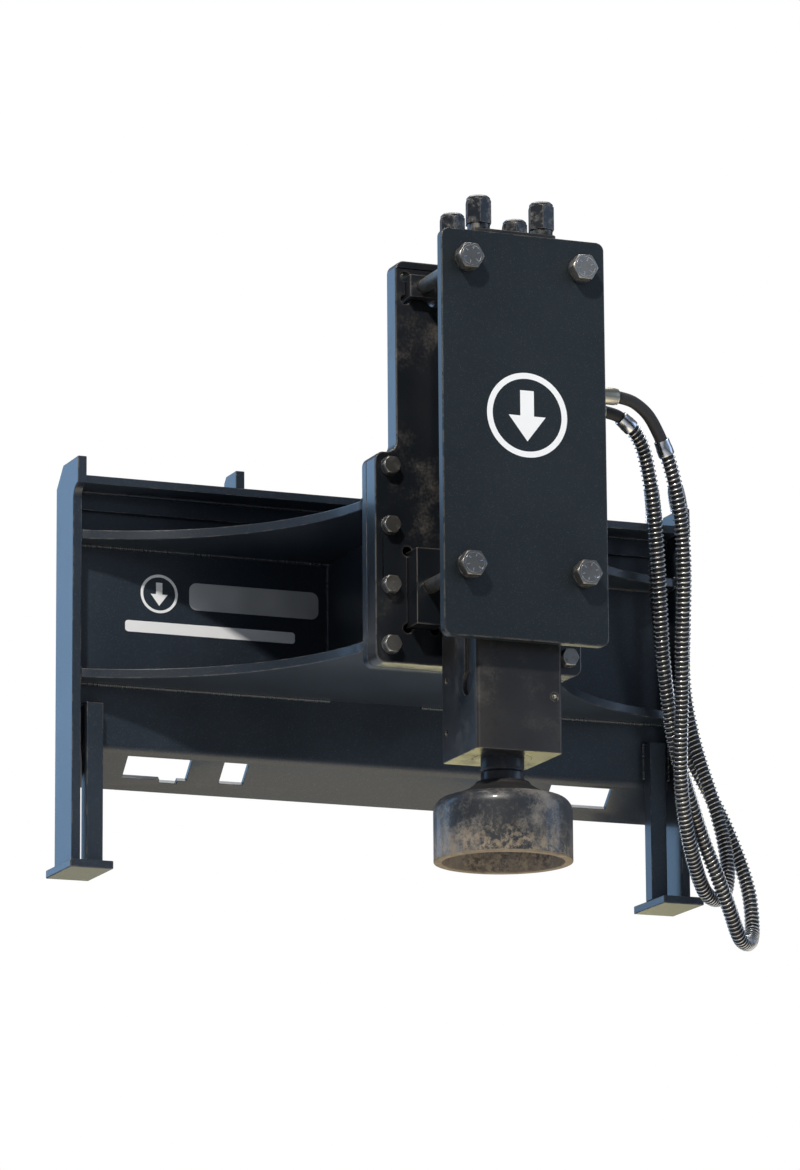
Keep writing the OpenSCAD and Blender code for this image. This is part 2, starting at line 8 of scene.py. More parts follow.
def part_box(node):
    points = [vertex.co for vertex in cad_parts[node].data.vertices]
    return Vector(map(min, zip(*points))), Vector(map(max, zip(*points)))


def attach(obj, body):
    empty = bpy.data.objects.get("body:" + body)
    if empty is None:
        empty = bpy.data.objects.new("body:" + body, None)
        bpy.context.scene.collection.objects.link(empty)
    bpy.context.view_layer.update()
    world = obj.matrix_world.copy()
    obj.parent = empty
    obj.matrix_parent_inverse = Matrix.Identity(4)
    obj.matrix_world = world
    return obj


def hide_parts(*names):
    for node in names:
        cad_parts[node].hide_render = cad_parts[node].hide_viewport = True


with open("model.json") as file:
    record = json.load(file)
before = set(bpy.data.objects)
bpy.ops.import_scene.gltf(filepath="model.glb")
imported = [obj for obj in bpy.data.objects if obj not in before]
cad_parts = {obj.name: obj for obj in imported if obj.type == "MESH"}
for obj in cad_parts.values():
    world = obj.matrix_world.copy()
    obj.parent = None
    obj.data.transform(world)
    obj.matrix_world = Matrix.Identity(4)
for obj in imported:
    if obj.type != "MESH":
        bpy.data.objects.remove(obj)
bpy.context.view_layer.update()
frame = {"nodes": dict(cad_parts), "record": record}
bodyOf = {node: body
          for body, nodes in frame["record"]["behaviour"]["bodies"].items() for node in nodes}
print("frame loaded,", len(frame["nodes"]), "nodes")


# camera, low and to the left of the breaker, looking up at it

view = {"place": (-3.7966, -9.5247, -2.2075), "yaw": 22.0, "pitch": 12.6, "roll": -0.4,
        "lens": 184.7, "sensor": 36.0}


def placeCamera(v):
    data = bpy.data.cameras.new("camera")
    data.sensor_width, data.lens = v["sensor"], v["lens"]
    data.clip_start, data.clip_end = 0.1, 80
    cam = bpy.data.objects.new("camera", data)
    bpy.context.scene.collection.objects.link(cam)
    yaw, pitch, roll = (math.radians(v[k]) for k in ("yaw", "pitch", "roll"))
    ahead = Vector((math.sin(yaw) * math.cos(pitch), math.cos(yaw) * math.cos(pitch),
                    math.sin(pitch)))
    right = Vector((math.cos(yaw), -math.sin(yaw), 0))
    up = right.cross(ahead)
    right, up = (right * math.cos(roll) + up * math.sin(roll),
                 up * math.cos(roll) - right * math.sin(roll))
    turn = Matrix((right, up, -ahead)).transposed().to_4x4()
    cam.matrix_world = Matrix.Translation(v["place"]) @ turn
    bpy.context.scene.camera = cam


placeCamera(view)


# shader groups

def shaderGroup(name, inputs, outputs):
    tree = bpy.data.node_groups.new(name, "ShaderNodeTree")
    for label, start in inputs.items():
        kind = "NodeSocketVector" if isinstance(start, tuple) else "NodeSocketFloat"
        sock = tree.interface.new_socket(label, in_out="INPUT", socket_type=kind)
        sock.default_value = start
    for label in outputs:
        tree.interface.new_socket(label, in_out="OUTPUT", socket_type="NodeSocketFloat")
    return tree, tree.nodes.new("NodeGroupInput"), tree.nodes.new("NodeGroupOutput")


# a node with its settings and inputs. An input is named, or i and its number
def put(tree, kind, settings=None, **inputs):
    node = tree.nodes.new(kind)
    for key, value in (settings or {}).items():
        setattr(node, key, value)
    for key, value in inputs.items():
        sock = node.inputs[int(key[1:])] if key[0] == "i" and key[1:].isdigit() else \
            node.inputs[key.replace("_", " ")]
        if isinstance(value, bpy.types.NodeSocket):
            tree.links.new(value, sock)
        else:
            sock.default_value = value
    return node


def maths(tree, operation, a, b=0.0, clamp=False):
    return put(tree, "ShaderNodeMath", {"operation": operation, "use_clamp": clamp},
               i0=a, i1=b).outputs[0]


def noise(tree, vector, scale, detail=4.0, rough=0.6):
    return put(tree, "ShaderNodeTexNoise", Vector=vector, Scale=scale, Detail=detail,
               Roughness=rough).outputs[0]


def between(tree, value, low, high):
    return put(tree, "ShaderNodeMapRange", {"interpolation_type": "SMOOTHSTEP"},
               Value=value, From_Min=low, From_Max=high).outputs[0]


# bare or rubbed edges: where a rounded normal leaves the true one, broken up by noise
def makeEdgeWear():
    tree, gin, gout = shaderGroup("edgeWear", {"Position": (0.0, 0.0, 0.0), "Radius": 0.003,
                                               "Cover": 0.5, "Patch Scale": 40.0}, ["Mask"])
    soft = put(tree, "ShaderNodeBevel", {"samples": 4}, Radius=gin.outputs["Radius"])
    true = put(tree, "ShaderNodeNewGeometry")
    dot = put(tree, "ShaderNodeVectorMath", {"operation": "DOT_PRODUCT"},
              i0=soft.outputs[0], i1=true.outputs["True Normal"])
    edge = maths(tree, "MULTIPLY", maths(tree, "SUBTRACT", 1.0, dot.outputs["Value"]), 9.0, True)
    patch = noise(tree, gin.outputs["Position"], gin.outputs["Patch Scale"], 6.0, 0.7)
    patch = maths(tree, "ADD", patch, maths(tree, "SUBTRACT", gin.outputs["Cover"], 0.5))
    patch = between(tree, patch, 0.5, 0.58)
    tree.links.new(maths(tree, "MULTIPLY", edge, patch, True), gout.inputs["Mask"])
    return tree


# dry dust and rubbed marks in wide soft patches
def makeDust():
    tree, gin, gout = shaderGroup("dust", {"Position": (0.0, 0.0, 0.0), "Cover": 0.5,
                                           "Patch Scale": 6.0}, ["Mask"])
    wide = noise(tree, gin.outputs["Position"], gin.outputs["Patch Scale"], 5.0, 0.65)
    fine = noise(tree, gin.outputs["Position"],
                 maths(tree, "MULTIPLY", gin.outputs["Patch Scale"], 22.0), 3.0, 0.7)
    both = maths(tree, "ADD", maths(tree, "MULTIPLY", wide, 0.75),
                 maths(tree, "MULTIPLY", fine, 0.25))
    both = maths(tree, "ADD", both, maths(tree, "SUBTRACT", gin.outputs["Cover"], 0.5))
    tree.links.new(between(tree, both, 0.48, 0.68), gout.inputs["Mask"])
    return tree


# fine powder coat or rolled skin: height for a bump, and rare bright grains
def makeGrain():
    tree, gin, gout = shaderGroup("grain", {"Position": (0.0, 0.0, 0.0), "Grain Scale": 900.0},
                                  ["Height", "Sparkle"])
    height = noise(tree, gin.outputs["Position"], gin.outputs["Grain Scale"], 2.0, 0.5)
    cells = put(tree, "ShaderNodeTexVoronoi", Vector=gin.outputs["Position"],
                Scale=maths(tree, "MULTIPLY", gin.outputs["Grain Scale"], 0.55))
    grey = put(tree, "ShaderNodeSeparateColor", Color=cells.outputs["Color"])
    rare = between(tree, grey.outputs[0], 0.86, 0.98)
    small = between(tree, cells.outputs["Distance"], 0.45, 0.2)
    tree.links.new(height, gout.inputs["Height"])
    tree.links.new(maths(tree, "MULTIPLY", rare, small), gout.inputs["Sparkle"])
    return tree


# long thin scratches along one axis
def makeScratches():
    tree, gin, gout = shaderGroup("scratches", {"Position": (0.0, 0.0, 0.0), "Cover": 0.5},
                                  ["Mask"])
    masks = []
    for turn, stretch in ((0.5, (14.0, 14.0, 420.0)), (-0.9, (380.0, 16.0, 16.0))):
        mapped = put(tree, "ShaderNodeMapping", {"vector_type": "POINT"},
                     Vector=gin.outputs["Position"], Rotation=(turn, 0.3, turn), Scale=stretch)
        masks.append(noise(tree, mapped.outputs[0], 1.0, 2.0, 0.5))
    most = maths(tree, "MAXIMUM", masks[0], masks[1])
    most = maths(tree, "ADD", most, maths(tree, "SUBTRACT", gin.outputs["Cover"], 0.5))
    tree.links.new(between(tree, most, 0.7, 0.76), gout.inputs["Mask"])
    return tree


groups = {"edgeWear": makeEdgeWear(), "dust": makeDust(), "grain": makeGrain(),
          "scratches": makeScratches()}


def useGroup(tree, name, **inputs):
    node = tree.nodes.new("ShaderNodeGroup")
    node.node_tree = groups[name]
    for key, value in inputs.items():
        sock = node.inputs[key.replace("_", " ")]
        if isinstance(value, bpy.types.NodeSocket):
            tree.links.new(value, sock)
        else:
            sock.default_value = value
    return node.outputs


def mixColour(tree, mask, a, b):
    node = put(tree, "ShaderNodeMix", {"data_type": "RGBA"}, i0=mask)
    for sock, value in ((node.inputs[6], a), (node.inputs[7], b)):
        if isinstance(value, bpy.types.NodeSocket):
            tree.links.new(value, sock)
        else:
            sock.default_value = (*value, 1)
    return node.outputs[2]


def mixNumber(tree, mask, a, b):
    span = maths(tree, "MULTIPLY", mask, maths(tree, "SUBTRACT", b, a))
    return maths(tree, "ADD", span, a)


# A coated or bare steel finish. Every look below is one dictionary of these values
finishBase = {
    "base": (0.012, 0.018, 0.027), "second": (0.018, 0.026, 0.038), "metallic": 0.0,
    "rough": 0.36, "grainScale": 1700.0, "bump": 0.12, "sparkle": 0.0,
    "edge": (0.20, 0.17, 0.14), "edgeCover": 0.5, "edgeRadius": 0.0022, "edgeMetal": 0.6,
    "dust": (0.13, 0.12, 0.105), "dustCover": 0.3, "dustScale": 5.0, "dustAmount": 0.5,
    "scratch": (0.16, 0.17, 0.18), "scratchCover": 0.4, "scratchAmount": 0.6,
    "flake": (0.55, 0.62, 0.7), "dustRough": 0.75, "edgeRough": 0.42, "toneRough": 0.12,
    "coat": 0.0, "coatRough": 0.12, "low": None,
}
# how gloss and roughness change where earth clings to the low part of a piece
earthLook = {"rough": 0.85, "gloss": 0.5, "rimLoss": 0.46, "rimDepth": 0.003,
             "raggedScale": 26.0, "tintScale": 60.0}


def steelFinish(name, **changes):
    look = {**finishBase, **changes}
    mat = bpy.data.materials.new(name)
    mat.use_nodes = True
    tree = mat.node_tree
    bsdf = tree.nodes["Principled BSDF"]
    position = put(tree, "ShaderNodeTexCoord").outputs["Object"]
    tone = noise(tree, position, 3.5, 3.0, 0.6)
    colour = mixColour(tree, between(tree, tone, 0.35, 0.65), look["base"], look["second"])
    grain = useGroup(tree, "grain", Position=position, Grain_Scale=look["grainScale"])
    if look["sparkle"]:
        flake = maths(tree, "MULTIPLY", grain["Sparkle"], look["sparkle"])
        colour = mixColour(tree, flake, colour, look["flake"])
    dust = useGroup(tree, "dust", Position=position, Cover=look["dustCover"],
                    Patch_Scale=look["dustScale"])["Mask"]
    dust = maths(tree, "MULTIPLY", dust, look["dustAmount"])
    colour = mixColour(tree, dust, colour, look["dust"])
    scratch = useGroup(tree, "scratches", Position=position, Cover=look["scratchCover"])["Mask"]
    scratch = maths(tree, "MULTIPLY", scratch, look["scratchAmount"])
    colour = mixColour(tree, scratch, colour, look["scratch"])
    edge = useGroup(tree, "edgeWear", Position=position, Radius=look["edgeRadius"],
                    Cover=look["edgeCover"])["Mask"]
    colour = mixColour(tree, edge, colour, look["edge"])
    rough = mixNumber(tree, dust, look["rough"], look["dustRough"])
    rough = mixNumber(tree, edge, rough, look["edgeRough"])
    shift = maths(tree, "MULTIPLY", maths(tree, "SUBTRACT", tone, 0.5), look["toneRough"])
    rough = maths(tree, "ADD", rough, shift)
    metal = mixNumber(tree, edge, look["metallic"], look["edgeMetal"])
    if look["low"]:
        low = look["low"]
        height = put(tree, "ShaderNodeSeparateXYZ", Vector=position).outputs["Z"]
        ragged = noise(tree, position, earthLook["raggedScale"], 6.0, 0.7)
        ragged = maths(tree, "MULTIPLY", maths(tree, "SUBTRACT", ragged, 0.5), low["ragged"])
        reach = between(tree, maths(tree, "ADD", height, ragged), low["top"], low["bottom"])
        specks = between(tree, noise(tree, position, low["speckScale"], 5.0, 0.75), 0.44, 0.6)
        rim = between(tree, height, low["rim"], low["rim"] - earthLook["rimDepth"])
        earth = maths(tree, "MAXIMUM", maths(tree, "MULTIPLY", reach, specks), rim)
        tint = mixColour(tree, noise(tree, position, earthLook["tintScale"], 3.0, 0.6),
                         low["light"], low["dark"])
        colour = mixColour(tree, earth, colour, tint)
        rough = mixNumber(tree, earth, rough, earthLook["rough"])
        metal = maths(tree, "MULTIPLY", metal, maths(tree, "SUBTRACT", 1.0, earth))
        gloss = maths(tree, "SUBTRACT", earthLook["gloss"],
                      maths(tree, "MULTIPLY", rim, earthLook["rimLoss"]))
        tree.links.new(gloss, bsdf.inputs["Specular IOR Level"])
        coat = maths(tree, "MULTIPLY", maths(tree, "SUBTRACT", 1.0, rim), look["coat"])
        tree.links.new(coat, bsdf.inputs["Coat Weight"])
    tree.links.new(colour, bsdf.inputs["Base Color"])
    tree.links.new(rough, bsdf.inputs["Roughness"])
    tree.links.new(metal, bsdf.inputs["Metallic"])
    if look["coat"]:
        bsdf.inputs["Coat Weight"].default_value = look["coat"]
        bsdf.inputs["Coat Roughness"].default_value = look["coatRough"]
    height = maths(tree, "SUBTRACT", grain["Height"], maths(tree, "MULTIPLY", scratch, 0.5))
    bump = put(tree, "ShaderNodeBump", Strength=look["bump"], Distance=0.0004, Height=height)
    tree.links.new(bump.outputs[0], bsdf.inputs["Normal"])
    return mat


finish = {
    "framePaint": steelFinish("framePaint", sparkle=0.22, coat=0.2, dustCover=0.24, dustAmount=0.18,
                              scratchCover=0.33),
    "clampPaint": steelFinish("clampPaint", base=(0.006, 0.010, 0.013),
                              second=(0.009, 0.014, 0.018), rough=0.4, sparkle=0.16,
                              dustCover=0.2, dustAmount=0.1,
                              scratchCover=0.3, edgeCover=0.56),
    "cradlePaint": steelFinish("cradlePaint", base=(0.006, 0.008, 0.011),
                               second=(0.012, 0.014, 0.018), rough=0.33, dustCover=0.46,
                               dustScale=9.0, dustAmount=0.6,
                               dust=(0.12, 0.105, 0.09), edgeCover=0.6, coat=0.2),
    "headPaint": steelFinish("headPaint", base=(0.010, 0.010, 0.011), second=(0.022, 0.021, 0.021),
                             rough=0.4, dustCover=0.5, dustScale=13.0, dustAmount=0.5,
                             dust=(0.075, 0.07, 0.062), scratchCover=0.45, edgeCover=0.62),
    "nutBlack": steelFinish("nutBlack", base=(0.012, 0.016, 0.022), second=(0.03, 0.034, 0.04),
                            metallic=0.35, rough=0.3, dustCover=0.5, dustScale=60.0,
                            dust=(0.3, 0.28, 0.25), dustAmount=0.6, edgeCover=0.6),
    "boltSteel": steelFinish("boltSteel", base=(0.20, 0.19, 0.175), second=(0.34, 0.33, 0.31),
                             metallic=0.9, rough=0.36, dustCover=0.5, dustScale=70.0,
                             dust=(0.09, 0.085, 0.08), dustAmount=0.7, edge=(0.5, 0.49, 0.47),
                             edgeMetal=1.0, bump=0.25, grainScale=500.0),
    # washers: a very dark base colour, partly black washers and partly painted shade under the bolt
    # heads
    "washerBlackAndPaintedShade": steelFinish("washerBlackAndPaintedShade", base=(0.02, 0.022, 0.025),
                               second=(0.04, 0.042, 0.046), metallic=0.3, rough=0.45,
                               dustCover=0.5, dustScale=80.0,
                               dust=(0.09, 0.085, 0.08), edge=(0.3, 0.3, 0.29), edgeMetal=1.0),
    "brightSteel": steelFinish("brightSteel", base=(0.5, 0.5, 0.52), second=(0.58, 0.58, 0.6),
                               metallic=1.0, rough=0.2, dustAmount=0.2, edge=(0.7, 0.7, 0.7),
                               edgeMetal=1.0),
    "guardSteel": steelFinish("guardSteel", base=(0.42, 0.42, 0.43), second=(0.62, 0.61, 0.6),
                              metallic=1.0, rough=0.26, dustCover=0.5, dustScale=30.0,
                              dust=(0.12, 0.11, 0.10), edgeCover=0.0, bump=0.05),
    "zinc": steelFinish("zinc", base=(0.42, 0.40, 0.34), second=(0.5, 0.46, 0.36), metallic=1.0,
                        rough=0.3, dustCover=0.45, dustScale=60.0, edge=(0.6, 0.58, 0.5),
                        edgeMetal=1.0),
    "bronze": steelFinish("bronze", base=(0.42, 0.3, 0.13), second=(0.5, 0.36, 0.17), metallic=1.0,
                          rough=0.32, edge=(0.6, 0.46, 0.25), edgeMetal=1.0),
    "shankSteel": steelFinish("shankSteel", base=(0.016, 0.02, 0.026), second=(0.05, 0.05, 0.055),
                              metallic=0.5, rough=0.28, dustCover=0.45, dustScale=40.0),
    "cupBlack": steelFinish("cupBlack", base=(0.010, 0.012, 0.016), second=(0.020, 0.023, 0.028),
                            rough=0.4, coat=0.3, dustCover=0.54, dustScale=11.0,
                            dust=(0.22, 0.20, 0.18), dustAmount=0.8, scratchCover=0.5,
                            edge=(0.24, 0.15, 0.09), edgeCover=0.66, edgeMetal=0.2,
                            low={"top": -0.44, "bottom": -0.49, "rim": -0.4985, "ragged": 0.05,
                                 "speckScale": 95.0, "light": (0.36, 0.30, 0.22),
                                 "dark": (0.12, 0.09, 0.06)}),
    "rubber": steelFinish("rubber", base=(0.012, 0.012, 0.013), second=(0.022, 0.022, 0.023),
                          rough=0.62, bump=0.2, grainScale=700.0, dustCover=0.4, edgeCover=0.0,
                          dust=(0.1, 0.095, 0.085)),
    "weldPaint": steelFinish("weldPaint", base=(0.014, 0.02, 0.028), second=(0.028, 0.034, 0.042),
                             rough=0.3, coat=0.3, edgeCover=0.0, dustCover=0.4),
    "signWhite": steelFinish("signWhite", base=(0.86, 0.87, 0.88), second=(0.9, 0.91, 0.92),
                             rough=0.45, bump=0.03, edgeCover=0.0, dustCover=0.2,
                             dustAmount=0.2, scratchCover=0.3, scratch=(0.6, 0.6, 0.6)),
    "signGrey": steelFinish("signGrey", base=(0.36, 0.37, 0.38), second=(0.62, 0.63, 0.65),
                            rough=0.35, bump=0.03, edgeCover=0.0, dustCover=0.2,
                            scratchCover=0.34),
}
print("finishes made,", len(finish))


# helpers that turn meshes into pieces

def link(obj):
    bpy.context.scene.collection.objects.link(obj)
    return obj


def piece(name, mesh, material, body, replaced=()):
    obj = link(bpy.data.objects.new(name, mesh))
    mesh.materials.clear()
    mesh.materials.append(finish[material])
    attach(obj, body)
    if replaced:
        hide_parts(*replaced)
    return obj


def baked(obj):
    bpy.context.view_layer.update()
    evaluated = obj.evaluated_get(bpy.context.evaluated_depsgraph_get())
    mesh = bpy.data.meshes.new_from_object(evaluated, preserve_all_data_layers=True,
                                           depsgraph=bpy.context.evaluated_depsgraph_get())
    bpy.data.objects.remove(obj)
    return mesh


# lengths in metres and angles in degrees for breaking the edges of a CAD mesh
edgeCut = {"merge": 2e-6, "flat": 0.4, "cornerFrom": 34, "sharpFrom": 20, "segments": 2}


def softEdged(node, name, width, material):
    bm = bmesh.new()
    bm.from_mesh(frame["nodes"][node].data)
    bmesh.ops.remove_doubles(bm, verts=bm.verts, dist=edgeCut["merge"])
    bmesh.ops.dissolve_limit(bm, angle_limit=math.radians(edgeCut["flat"]), verts=bm.verts,
                             edges=bm.edges)
    mesh = bpy.data.meshes.new(name)
    bm.to_mesh(mesh)
    bm.free()
    mesh.shade_smooth()
    temp = link(bpy.data.objects.new("temp", mesh))
    bevel = temp.modifiers.new("edges", "BEVEL")
    bevel.width, bevel.segments, bevel.limit_method = width, edgeCut["segments"], "ANGLE"
    bevel.angle_limit = math.radians(edgeCut["cornerFrom"])
    bevel.use_clamp_overlap = False
    mesh = baked(temp)
    mesh.name = name
    mesh.shade_smooth()
    mesh.set_sharp_from_angle(angle=math.radians(edgeCut["sharpFrom"]))
    return piece(name, mesh, material, bodyOf[node], [node])


# plates and castings: each CAD node gets broken edges and its own finish
softEdges = {
    "framePaint": {
        "main_plate": ("mainPlate", 0.0012), "top_bar": ("topBar", 0.0012),
        "top_lip": ("topLip", 0.001), "upper_strip": ("upperStrip", 0.001),
        "end_plate_left": ("endPlateLeft", 0.0016), "end_plate_right": ("endPlateRight", 0.0016),
        "lug_left": ("lugLeft", 0.0012), "lug_right": ("lugRight", 0.0012),
        "upper_rib": ("upperRib", 0.0016), "lower_rib": ("lowerRib", 0.0016),
        "web_left": ("webLeft", 0.0012), "web_right": ("webRight", 0.0012),
        "face_plate": ("facePlate", 0.0016), "leg_left": ("legLeft", 0.0016),
        "leg_right": ("legRight", 0.0016), "foot_left": ("footLeft", 0.0016),
        "foot_right": ("footRight", 0.0016)},
    "cradlePaint": {
        "cradle_plate": ("cradlePlate", 0.0022), "upper_blocks": ("upperBlocks", 0.0016),
        "lower_blocks": ("lowerBlocks", 0.0016)},
    "clampPaint": {"clamp_plate": ("clampPlate", 0.002)},
    "headPaint": {
        "front_head": ("frontHead", 0.001), "cylinder": ("cylinderBody", 0.001),
        "back_head": ("backHead", 0.001), "cup_hub": ("cupHub", 0.0015)},
    "nutBlack": {"tie_rod_collars": ("tieRodCollars", 0.0012)},
    "boltSteel": {"cradle_bolts": ("cradleBolts", 0.0007), "clamp_bolts": ("clampBolts", 0.0009),
                  "retaining_pin": ("retainingPin", 0.001)},
    # the washers' dark finish is partly painted shade under the bolt heads
    "washerBlackAndPaintedShade": {"cradle_washers": ("cradleWashers", 0.0006),
                    "clamp_washers": ("clampWashers", 0.0008)},
    "zinc": {"port_adapters": ("portAdapters", 0.0007), "hose_nuts": ("hoseNuts", 0.0007)},
    "cupBlack": {"driver_cup": ("driverCup", 0.0015)},
    "shankSteel": {"tool_shank": ("toolShank", 0.001)},
    "brightSteel": {"male_coupler": ("maleCoupler", 0.0006),
                    "female_coupler": ("femaleCoupler", 0.0006),
                    "piston": ("pistonBody", 0.0013)},
    "rubber": {"front_pads": ("frontPads", 0.001), "rear_pads": ("rearPads", 0.001)},
}
for material, rows in softEdges.items():
    for node, (name, width) in rows.items():
        softEdged(node, name, width, material)


# a thin ring and six short bars that stand proud on the head of each clamp bolt
headMarks = {"x": 0.1028, "across": 0.041, "ring": 0.0168, "crest": 0.0003, "base": 0.0007,
             "from": 0.0095, "to": 0.0150, "width": 0.0020, "rise": 0.0006, "sink": 0.0002,
             "count": 6, "turn": 0.3, "steps": 48}


def markBar(bm, x, z, front, angle, m):
    ux, uz, half = math.cos(angle), math.sin(angle), m["width"] / 2
    corners = ((m["from"], -half), (m["to"], -half), (m["to"], half), (m["from"], half))
    outline = [(x + ux * r - uz * w, z + uz * r + ux * w) for r, w in corners]
    near = [bm.verts.new((px, front - m["rise"], pz)) for px, pz in outline]
    far = [bm.verts.new((px, front + m["sink"], pz)) for px, pz in outline]
    bm.faces.new(near)
    bm.faces.new(list(reversed(far)))
    for i in range(4):
        bm.faces.new((near[i], far[i], far[(i + 1) % 4], near[(i + 1) % 4]))


def markRing(bm, x, z, front, m):
    steps = m["steps"]
    around = [(math.cos(2 * math.pi * k / steps), math.sin(2 * math.pi * k / steps))
              for k in range(steps)]
    section = ((-m["base"], -m["sink"]), (-m["crest"], m["rise"]),
               (m["crest"], m["rise"]), (m["base"], -m["sink"]))
    rings = [[bm.verts.new((x + (m["ring"] + dr) * c, front - out, z + (m["ring"] + dr) * s))
              for c, s in around] for dr, out in section]
    for a, b in zip(rings, rings[1:] + rings[:1]):
        for k in range(steps):
            n = (k + 1) % steps
            bm.faces.new((a[k], a[n], b[n], b[k]))


def makeHeadMarks(m):
    low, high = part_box("clamp_bolts")
    bm = bmesh.new()
    for x in (-m["x"], m["x"]):
        for z in (low.z + m["across"] / 2, high.z - m["across"] / 2):
            for k in range(m["count"]):
                markBar(bm, x, z, low.y, m["turn"] + 2 * math.pi * k / m["count"], m)
            markRing(bm, x, z, low.y, m)
    bmesh.ops.recalc_face_normals(bm, faces=bm.faces)
    mesh = bpy.data.meshes.new("headMarks")
    bm.to_mesh(mesh)
    bm.free()
    piece("headMarks", mesh, "brightSteel", bodyOf["clamp_bolts"])


makeHeadMarks(headMarks)
print("edges broken on", sum(len(rows) for rows in softEdges.values()), "nodes")


# the nodes that keep their CAD shape
keptLooks = {"tie_rods": "boltSteel", "lower_bush": "headPaint", "upper_bush": "bronze",
             "pin_plug": "rubber", "grease_nipple": "zinc", "lower_seal_carrier": "bronze",
             "upper_seal_carrier": "bronze", "rod_seals": "rubber",
             "valve_spool": "brightSteel", "valve_plug": "boltSteel", "charge_valve": "zinc",
             "coupler_sleeve": "zinc", "tie_rod_nuts": "nutBlack"}
for node, material in keptLooks.items():
    data = frame["nodes"][node].data
    data.materials.clear()
    data.materials.append(finish[material])


# hoses

hoses = {
    "Pressure": {"node": "hose_pressure", "guardFrom": 0.114, "radius": 0.0105, "points": [
        (205, -601, 298), (234, -600, 292), (262, -596, 274), (284, -589, 246),
        (303, -581, 212), (320, -571, 172), (334, -560, 128), (346, -546, 80),
        (355, -530, 26), (362, -511, -32), (369, -488, -90), (379, -463, -148),
        (390, -434, -206), (402, -402, -262), (418, -369, -318), (444, -330, -378),
        (480, -284, -432), (517, -243, -469), (556, -205, -474), (588, -173, -453),
        (604, -152, -408), (605, -137, -360), (597, -129, -312), (585, -123, -266),
        (571, -118, -218), (558, -114, -166), (548, -111, -108), (544, -109, -46),
        (547, -108, 24), (549, -107, 96), (549, -108, 160), (549, -108, 216),
        (552, -88, 262), (562, -56, 290), (576, -20, 300), (594, 18, 294),
        (617, 56, 266), (629, 84, 220), (624, 99, 162), (612, 104, 104),
        (606, 104, 66), (606, 104, 30)]},
    "Return": {"node": "hose_return", "guardFrom": 0.032, "radius": 0.0105, "points": [
        (205, -545, 286), (232, -544, 280), (257, -540, 264), (278, -534, 238),
        (293, -525, 200), (306, -514, 152), (316, -502, 104), (326, -488, 52),
        (335, -474, 0), (345, -456, -56), (358, -434, -112), (376, -409, -168),
        (397, -382, -226), (424, -355, -282), (456, -328, -338), (490, -300, -394),
        (524, -279, -446), (560, -248, -496), (596, -210, -538), (634, -166, -541),
        (659, -130, -513), (666, -108, -450), (659, -95, -398), (643, -87, -346),
        (620, -84, -294), (590, -83, -242), (560, -83, -186), (536, -86, -126),
        (519, -90, -62), (507, -95, 8), (500, -100, 80), (497, -104, 148),
        (498, -103, 210), (505, -79, 260), (522, -36, 289), (545, 13, 290),
        (567, 59, 263), (576, 88, 217), (568, 101, 158), (561, 104, 124),
        (560, 104, 100)]},
}
guard = {"pitch": 0.0084, "coil": 0.0121, "wire": 0.0014, "steps": 14, "endGap": 0.004}


def smoothLine(points, steps=6):
    pts = [Vector(p) / 1000 for p in points]
    line = []
    for k in range(len(pts) - 1):
        a, b, c, d = pts[max(k - 1, 0)], pts[k], pts[k + 1], pts[min(k + 2, len(pts) - 1)]
        for i in range(steps):
            t = i / steps
            line.append(0.5 * (2 * b + (c - a) * t + (2 * a - 5 * b + 4 * c - d) * t * t
                               + (3 * b - a - 3 * c + d) * t ** 3))
    return line + [pts[-1]]


def lineLength(line):
    return sum((b - a).length for a, b in zip(line, line[1:]))


def cutLine(line, start, stop):
    done, kept = 0.0, []
    for a, b in zip(line, line[1:]):
        step = (b - a).length
        for at in ((start,) if done <= start < done + step else ()):
            kept.append(a.lerp(b, (at - done) / step))
        if start < done + step <= stop:
            kept.append(b)
        if done <= stop < done + step:
            kept.append(a.lerp(b, (stop - done) / step))
        done += step
    return kept


def edgeLine(name, lines):
    bm = bmesh.new()
    for line in lines:
        verts = [bm.verts.new(p) for p in line]
        for a, b in zip(verts, verts[1:]):
            bm.edges.new((a, b))
    mesh = bpy.data.meshes.new(name)
    bm.to_mesh(mesh)
    bm.free()
    return link(bpy.data.objects.new(name, mesh))


def geometryTree(name, inputs):
    tree = bpy.data.node_groups.new(name, "GeometryNodeTree")
    tree.interface.new_socket("Geometry", in_out="INPUT", socket_type="NodeSocketGeometry")
    for label, start in inputs.items():
        kind = {"int": "NodeSocketInt", "float": "NodeSocketFloat"}.get(
            type(start).__name__, "NodeSocketMaterial")
        sock = tree.interface.new_socket(label, in_out="INPUT", socket_type=kind)
        if start is not None:
            sock.default_value = start
    tree.interface.new_socket("Geometry", in_out="OUTPUT", socket_type="NodeSocketGeometry")
    return tree, tree.nodes.new("NodeGroupInput").outputs, tree.nodes.new("NodeGroupOutput")


def applyTree(obj, tree, values):
    mod = obj.modifiers.new("made", "NODES")
    mod.node_group = tree
    for item in tree.interface.items_tree:
        if item.in_out == "INPUT" and item.name in values:
            mod[item.identifier] = values[item.name]
    return baked(obj)


